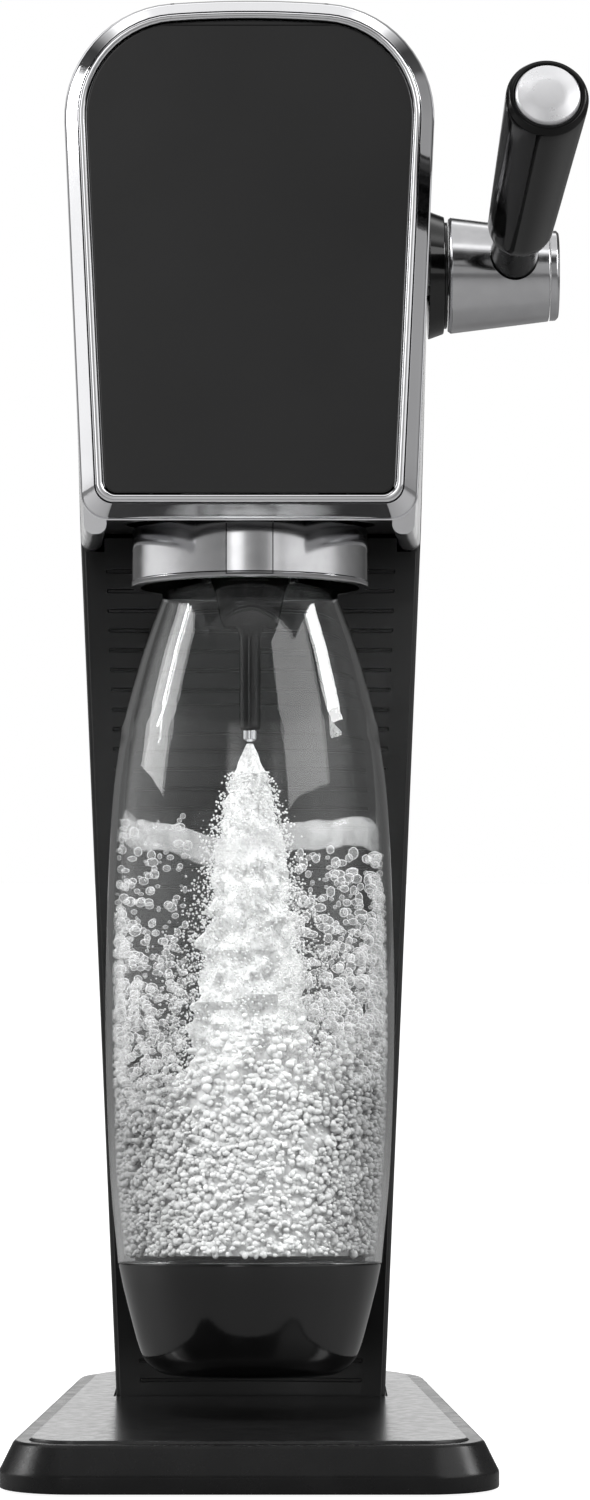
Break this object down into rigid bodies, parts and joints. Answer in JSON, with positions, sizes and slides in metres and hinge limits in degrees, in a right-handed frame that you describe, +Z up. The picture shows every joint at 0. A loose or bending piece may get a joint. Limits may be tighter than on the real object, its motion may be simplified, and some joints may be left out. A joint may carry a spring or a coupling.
{
  "type": "soda carbonator",
  "caption": "Manual soda carbonator with a tall grooved column, an arched head, a side lever and a clear bottle held under the head.",
  "frame": {"origin": "middle of the base's footprint, on the surface it stands on", "axes": "+X to the lever's side, +Y to the back, +Z up"},
  "size_m": [0.1663, 0.2606, 0.4257],
  "materials": {
    "black_plastic": "satin black",
    "black_satin": "satin black",
    "gloss_black": "polished black",
    "mat_plastic": "fine grained black",
    "white_plastic": "plain",
    "red_plastic": "plain",
    "rubber": "matt",
    "chrome": "polished",
    "silver": "satin silver",
    "brushed_steel": "brushed round the axis",
    "steel": "plain",
    "brass": "machined",
    "aluminium": "satin",
    "clear_plastic": "clear, smoked"
  },
  "bodies": {
    "root": {"base_shell": "black_plastic", "base_mat": "mat_plastic", "bottom_cover": "black_plastic", "foot_front_left": "rubber", "foot_front_right": "rubber", "foot_rear_left": "rubber", "foot_rear_right": "rubber", "foot_centre": "rubber", "column_screw_1": "steel", "column_screw_2": "steel", "column_screw_3": "steel", "column_screw_4": "steel", "body_frame": "black_satin", "column_front_panel": "black_satin", "head_side_frame": "silver", "head_bezel": "chrome", "head_front_panel": "gloss_black", "head_underside": "black_satin", "shaft_bracket": "steel", "valve_block": "brass", "cylinder_hose": "rubber", "outlet_hose": "rubber", "cylinder_adaptor": "brass", "cylinder_cradle": "black_plastic", "lever_collar": "gloss_black", "shaft_bushing": "white_plastic", "lever_return_spring": "steel", "holder_pivot_pin": "steel"},
    "lever": {"lever_shaft": "steel", "lever_crank": "steel", "lever_drum": "brushed_steel", "drum_end_cap": "silver", "lever_neck": "black_plastic", "lever_grip": "black_plastic", "grip_end_cap": "silver"},
    "pusher": {"valve_pusher": "steel"},
    "bottle_holder": {"holder_ring": "brushed_steel", "holder_tab": "brushed_steel", "holder_core": "black_plastic", "nozzle_tube": "black_plastic", "nozzle_tip": "chrome", "mouth_seal": "rubber", "relief_valve": "brass"},
    "bottle": {"bottle_shell": "clear_plastic", "bottle_cup": "gloss_black"},
    "rear_cover": {"back_cover": "black_satin"},
    "cover_release": {"cover_button": "black_satin"},
    "cylinder_latch": {"latch_yoke": "red_plastic"},
    "cylinder": {"gas_cylinder": "aluminium", "cylinder_valve": "brass"}
  },
  "joints": [
    {"name": "lever_pull", "type": "hinge", "parent": "root", "child": "lever", "pos_m": [0.0777, -0.012, 0.3534], "axis": [1, 0, 0], "range_deg": [0, 35], "stiffness_Nm_per_rad": 1.2, "springref_deg": -17.19},
    {"name": "pusher_stroke", "type": "slide", "parent": "root", "child": "pusher", "axis": [0, 1, 0], "range_m": [0, 0.0092]},
    {"name": "holder_tilt", "type": "hinge", "parent": "root", "child": "bottle_holder", "pos_m": [0, -0.06, 0.285], "axis": [-1, 0, 0], "range_deg": [0, 12]},
    {"name": "bottle_pull", "type": "slide", "parent": "bottle_holder", "child": "bottle", "axis": [0, -0.0576, -0.9983], "range_m": [0, 0.004]},
    {"name": "rear_cover_pull", "type": "slide", "parent": "root", "child": "rear_cover", "axis": [0, 1, 0], "range_m": [0, 0.06]},
    {"name": "cover_button_press", "type": "slide", "parent": "rear_cover", "child": "cover_release", "axis": [0, -1, 0], "range_m": [0, 0.0025], "stiffness_N_per_m": 300, "springref_m": -0.002},
    {"name": "cylinder_drop", "type": "slide", "parent": "root", "child": "cylinder", "axis": [0, 0, -1], "range_m": [0, 0.003]},
    {"name": "latch_lift", "type": "hinge", "parent": "root", "child": "cylinder_latch", "pos_m": [0, 0.058, 0.388], "axis": [1, 0, 0], "range_deg": [0, 40]}
  ],
  "couplings": [
    {"joint": "pusher_stroke", "follows": "lever_pull", "m_per_rad": 0.015},
    {"joint": "latch_lift", "follows": "cylinder_drop", "rad_per_m": 232}
  ]
}
